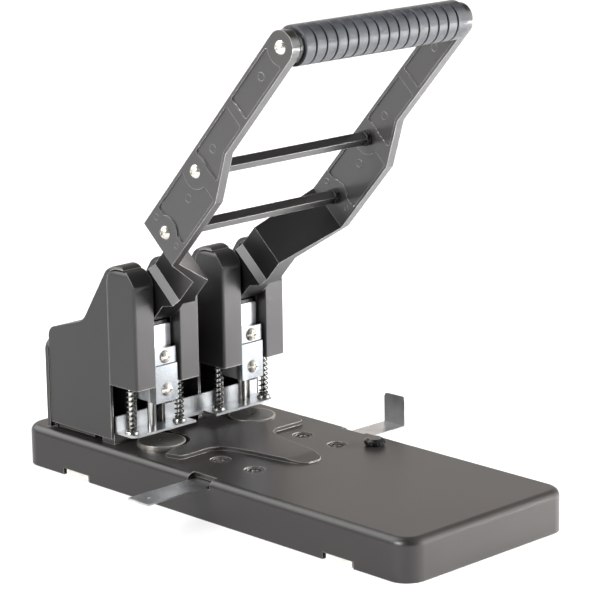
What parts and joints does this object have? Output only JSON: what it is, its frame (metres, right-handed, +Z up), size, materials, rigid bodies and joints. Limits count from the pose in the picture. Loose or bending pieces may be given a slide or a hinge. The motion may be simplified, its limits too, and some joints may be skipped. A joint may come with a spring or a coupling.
{
  "type": "heavy duty two hole paper punch",
  "caption": "Manual lever hole punch: long base, two spring-return punch towers, raised arm frame with ribbed grip, sliding paper guide",
  "frame": {"origin": "on the underside, at the mid-plane and below the row of punch pins", "axes": "+X to the user's right, +Y to the back of the punch, +Z up"},
  "size_m": [0.2264, 0.3525, 0.3161],
  "materials": {
    "base_moulding": "satin, fine spark texture",
    "tower_moulding": "satin",
    "plain_steel": "satin",
    "pale_rubber": "matte",
    "black_steel": "black oxide, satin",
    "zinc_steel": "zinc plated, satin",
    "black_plastic": "semi gloss",
    "bright_steel": "bright nickel plate",
    "painted_steel": "satin black",
    "painted_casting": "satin black powder coat",
    "grip_rubber": "semi matte"
  },
  "bodies": {
    "base": {"base_cover": "base_moulding", "bottom_plate": "plain_steel", "rubber_feet": "pale_rubber", "deck_screws": "black_steel", "bottom_screws": "plain_steel", "bar_channel": "plain_steel", "anvil_blocks": "plain_steel", "stripper_plate": "bright_steel", "plate_supports": "painted_steel", "spring_seats": "bright_steel", "guide_posts": "bright_steel", "left_frame": "painted_steel", "right_frame": "painted_steel", "frame_screws": "plain_steel", "pivot_shafts": "plain_steel", "shaft_clips": "plain_steel", "stop_pins": "bright_steel", "rear_housing": "tower_moulding", "left_outer_cover": "tower_moulding", "left_inner_cover": "tower_moulding", "right_inner_cover": "tower_moulding", "right_outer_cover": "tower_moulding", "left_outer_spring": "bright_steel", "left_inner_spring": "bright_steel", "right_inner_spring": "bright_steel", "right_outer_spring": "bright_steel"},
    "lever": {"left_arm": "painted_casting", "right_arm": "painted_casting", "grip_sleeve": "grip_rubber", "grip_rod": "plain_steel", "grip_collar": "black_plastic", "upper_tie_bar": "painted_casting", "lower_tie_bar": "painted_casting", "tie_collars": "black_plastic", "arm_screws": "bright_steel"},
    "left_punch": {"left_holder": "bright_steel", "left_clamp": "bright_steel", "left_strap": "bright_steel", "left_holder_screws": "bright_steel", "left_pin": "bright_steel", "left_pad": "black_plastic"},
    "right_punch": {"right_holder": "bright_steel", "right_clamp": "bright_steel", "right_strap": "bright_steel", "right_holder_screws": "bright_steel", "right_pin": "bright_steel", "right_pad": "black_plastic"},
    "guide": {"guide_bar": "zinc_steel"},
    "lock": {"guide_knob": "black_plastic", "knob_cam": "plain_steel"},
    "left_cutting_disc": {"left_disc": "black_steel"},
    "right_cutting_disc": {"right_disc": "black_steel"},
    "tray": {"chip_tray": "black_plastic", "tray_panel": "tower_moulding", "tray_screws": "plain_steel"}
  },
  "joints": [
    {"name": "lever_swing", "type": "hinge", "parent": "base", "child": "lever", "pos_m": [0, 0.00621, 0.127], "axis": [1, 0, 0], "range_deg": [0, 48], "stiffness_Nm_per_rad": 0.6, "springref_deg": -137.51},
    {"name": "left_punch_slide", "type": "slide", "parent": "base", "child": "left_punch", "axis": [0, 0, -1], "range_m": [0, 0.00521], "deforming": ["left_outer_spring", "left_inner_spring"]},
    {"name": "right_punch_slide", "type": "slide", "parent": "base", "child": "right_punch", "axis": [0, 0, -1], "range_m": [0, 0.00521], "deforming": ["right_inner_spring", "right_outer_spring"]},
    {"name": "guide_slide", "type": "slide", "parent": "base", "child": "guide", "axis": [1, 0, 0], "range_m": [-0.032, 0.09]},
    {"name": "guide_lock_turn", "type": "hinge", "parent": "base", "child": "lock", "pos_m": [0.0522, -0.1108, 0.0294], "axis": [0, 0, 1], "range_deg": [-35, 0]},
    {"name": "left_disc_turn", "type": "hinge", "parent": "base", "child": "left_cutting_disc", "pos_m": [-0.04, -0.0087, 0.0269], "axis": [0, 0, 1], "continuous": true},
    {"name": "right_disc_turn", "type": "hinge", "parent": "base", "child": "right_cutting_disc", "pos_m": [0.04, -0.0087, 0.0269], "axis": [0, 0, 1], "continuous": true},
    {"name": "tray_slide", "type": "slide", "parent": "base", "child": "tray", "axis": [0, 1, 0], "range_m": [0, 0.038]}
  ],
  "couplings": [
    {"joint": "left_punch_slide", "follows": "lever_swing", "m_per_rad": 0.006207},
    {"joint": "right_punch_slide", "follows": "lever_swing", "m_per_rad": 0.006207}
  ]
}
